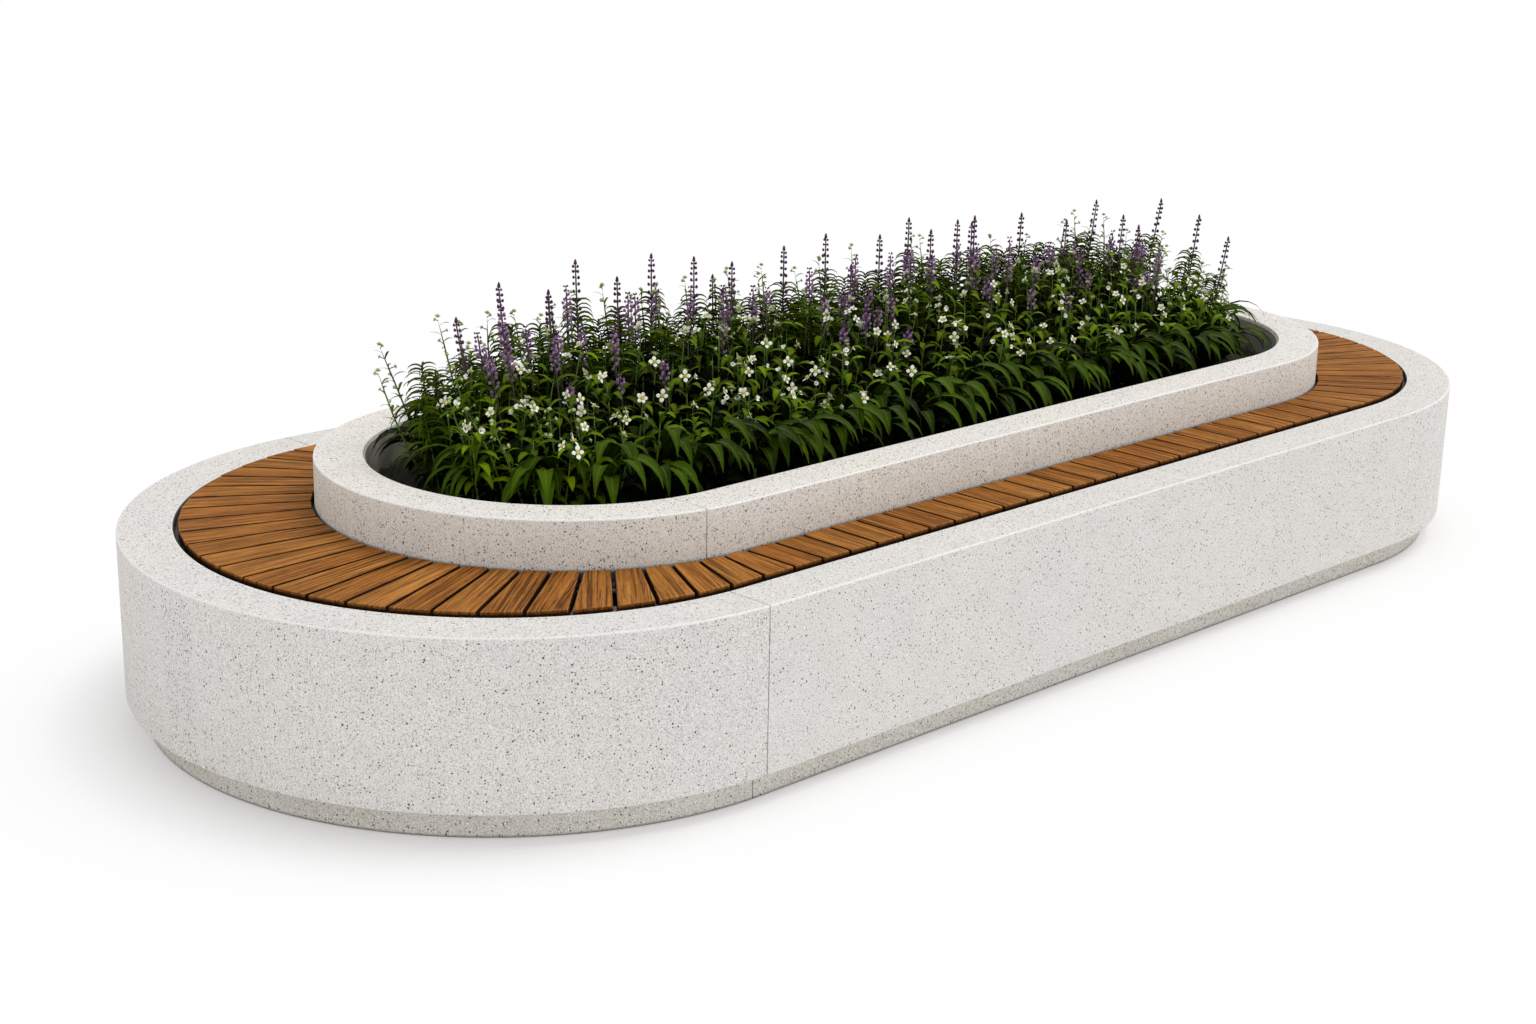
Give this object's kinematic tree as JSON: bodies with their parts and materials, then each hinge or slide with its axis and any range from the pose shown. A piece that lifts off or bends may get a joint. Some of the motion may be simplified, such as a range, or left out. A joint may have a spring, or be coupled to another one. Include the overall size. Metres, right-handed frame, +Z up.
{
  "type": "bench with planter",
  "caption": "Oval precast bench with rounded ends, a fanned hardwood slat seat on a recessed plinth, and a raised planted bed in the middle.",
  "frame": {"origin": "on the ground, under the centre of the bench", "axes": "+Z up, +X along the bench towards its right end as seen from the front, -Y towards the front"},
  "size_m": [4.26, 1.8, 0.971],
  "materials": {
    "stone": "light warm grey cast stone with fine dark and white specks, ground smooth",
    "plinth_stone": "darker warm grey cast stone, speckled",
    "base_concrete": "plain concrete",
    "seal": "dark joint sealant, recessed",
    "wood": "oiled warm brown hardwood with fine straight grain",
    "galvanised": "pale grey galvanised steel",
    "liner": "charcoal, matt",
    "gravel": "rounded drainage gravel",
    "fleece": "felted filter fleece",
    "soil": "near-black crumbly soil",
    "pipe": "dark moulded plastic",
    "leaf": "glossy strap leaves, mid to dark green",
    "flower_leaf": "fresh green leaves with small white yellow-centred flowers",
    "spike": "violet flower spikes over narrow dark green leaves"
  },
  "bodies": {
    "root": {"plinth_left_end": "plinth_stone", "plinth_long_section": "plinth_stone", "plinth_joint_seal_front": "seal", "plinth_joint_seal_rear": "seal", "wall_left_end": "stone", "wall_long_section": "stone", "wall_joint_seal_front": "seal", "wall_joint_seal_rear": "seal", "wall_dowel_front_lower": "galvanised", "wall_dowel_front_upper": "galvanised", "wall_dowel_rear_lower": "galvanised", "wall_dowel_rear_upper": "galvanised", "planter_wall_left_end": "stone", "planter_wall_long_section": "stone", "planter_wall_joint_seal_front": "seal", "planter_wall_joint_seal_rear": "seal", "planter_wall_dowel_front_lower": "galvanised", "planter_wall_dowel_front_upper": "galvanised", "planter_wall_dowel_rear_lower": "galvanised", "planter_wall_dowel_rear_upper": "galvanised", "outer_bearer_left_end": "galvanised", "outer_bearer_right_end": "galvanised", "outer_bearer_front": "galvanised", "outer_bearer_rear": "galvanised", "inner_bearer_left_end": "galvanised", "inner_bearer_right_end": "galvanised", "inner_bearer_front": "galvanised", "inner_bearer_rear": "galvanised", "seat_panel_left_end_rear": "wood", "seat_panel_left_end_centre": "wood", "seat_panel_left_end_front": "wood", "seat_panel_right_end_rear": "wood", "seat_panel_right_end_centre": "wood", "seat_panel_right_end_front": "wood", "seat_panel_front_left": "wood", "seat_panel_front_right": "wood", "seat_panel_rear_left": "wood", "seat_panel_rear_right": "wood", "planter_base": "base_concrete", "planter_liner": "liner", "drain_outlet_left": "pipe", "drain_outlet_centre": "pipe", "drain_outlet_right": "pipe", "drainage_layer": "gravel", "filter_fleece": "fleece", "soil": "soil", "strap_leaf_planting": "leaf", "white_flower_planting": "flower_leaf", "purple_spike_planting": "spike"}
  },
  "joints": []
}
